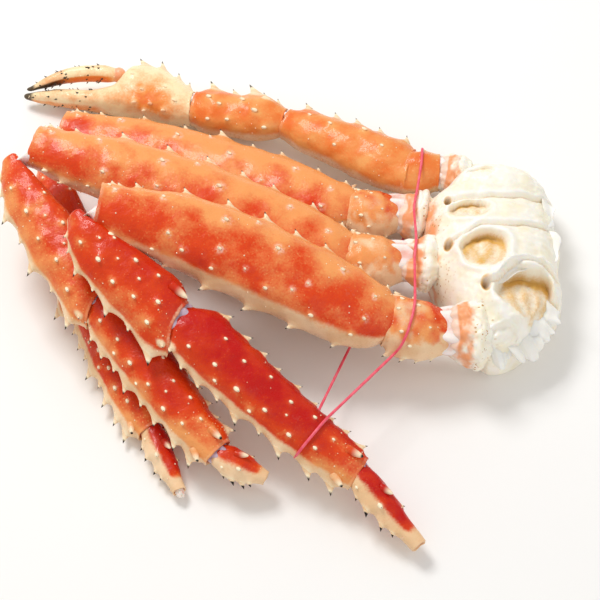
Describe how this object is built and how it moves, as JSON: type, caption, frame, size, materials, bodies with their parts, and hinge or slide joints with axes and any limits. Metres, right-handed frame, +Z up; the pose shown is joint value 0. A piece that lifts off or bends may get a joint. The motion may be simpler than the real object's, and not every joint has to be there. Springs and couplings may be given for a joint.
{
  "type": "king crab leg cluster",
  "caption": "Cooked king crab cluster: spiny walking legs folded at the knee and a slim claw arm on a pale shoulder, held by a thin rubber band.",
  "frame": {"origin": "on the ground, under the middle of the cluster's box", "axes": "+X from the knees towards the shoulder, +Y towards the claw arm, +Z up"},
  "size_m": [0.3426, 0.346, 0.1001],
  "materials": {
    "cooked_shell": "glossy orange-red cooked shell with cream spines",
    "pale_shell": "glossy cream shell with orange patches",
    "hip_ring": "peach and white shell ring with brown speckles",
    "joint_skin": "pale pink soft joint skin",
    "crab_meat": "whitish pink moist meat",
    "shoulder_body": "cream-white membrane and meat with tan hollows",
    "rubber": "thin pink-red rubber band"
  },
  "bodies": {
    "root": {"arm_carpus": "cooked_shell", "arm_coxa": "hip_ring", "arm_elbow_skin": "joint_skin", "arm_finger": "pale_shell", "arm_finger_skin": "joint_skin", "arm_hip_skin": "joint_skin", "arm_ischium": "pale_shell", "arm_merus": "cooked_shell", "arm_palm": "pale_shell", "arm_wrist_skin": "joint_skin", "back_ankle_skin": "joint_skin", "back_carpus": "cooked_shell", "back_claw_skin": "joint_skin", "back_coxa": "hip_ring", "back_cut_meat": "crab_meat", "back_dactylus": "cooked_shell", "back_hip_skin": "joint_skin", "back_ischium": "cooked_shell", "back_knee_skin": "joint_skin", "back_merus": "cooked_shell", "back_propodus": "cooked_shell", "front_ankle_skin": "joint_skin", "front_carpus": "cooked_shell", "front_claw_skin": "joint_skin", "front_coxa": "hip_ring", "front_dactylus": "cooked_shell", "front_hip_skin": "joint_skin", "front_ischium": "cooked_shell", "front_knee_skin": "joint_skin", "front_merus": "cooked_shell", "front_propodus": "cooked_shell", "middle_ankle_skin": "joint_skin", "middle_carpus": "cooked_shell", "middle_claw_skin": "joint_skin", "middle_coxa": "hip_ring", "middle_dactylus": "cooked_shell", "middle_hip_skin": "joint_skin", "middle_ischium": "cooked_shell", "middle_knee_skin": "joint_skin", "middle_merus": "cooked_shell", "middle_propodus": "cooked_shell", "rubber_band": "rubber", "shoulder": "shoulder_body"}
  },
  "joints": []
}
